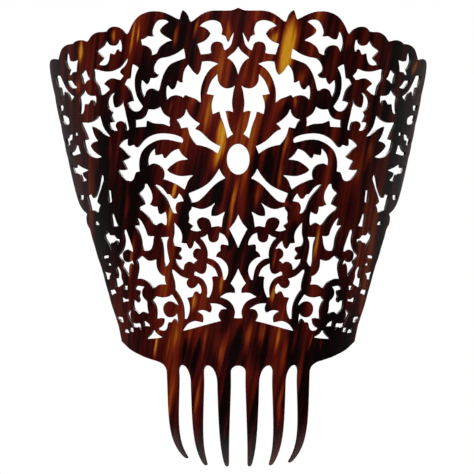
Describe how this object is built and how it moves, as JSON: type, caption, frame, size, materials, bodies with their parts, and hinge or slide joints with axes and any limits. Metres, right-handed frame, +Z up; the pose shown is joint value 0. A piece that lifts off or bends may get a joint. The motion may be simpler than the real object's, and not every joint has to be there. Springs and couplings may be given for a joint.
{
  "type": "ornamental hair comb",
  "caption": "High openwork back comb: a pierced foliage crest rolled round the head above a solid band with a row of long curved teeth.",
  "frame": {"origin": "on the convex front face, on the comb's middle line, at the height where the teeth leave the band", "axes": "+Z up along the middle line from the teeth to the crest; -Y out of the convex front face; +X to the viewer's right when looking at the front"},
  "size_m": [0.2294, 0.0986, 0.2632],
  "materials": {
    "shell_crest": "gloss",
    "shell_wings": "gloss",
    "shell_band": "gloss",
    "shell_teeth": "gloss"
  },
  "bodies": {
    "root": {"crest_centre": "shell_crest", "crest_left_wing": "shell_wings", "crest_right_wing": "shell_wings", "base_band": "shell_band", "tooth_1": "shell_teeth", "tooth_2": "shell_teeth", "tooth_3": "shell_teeth", "tooth_4": "shell_teeth", "tooth_5": "shell_teeth", "tooth_6": "shell_teeth"}
  },
  "joints": []
}
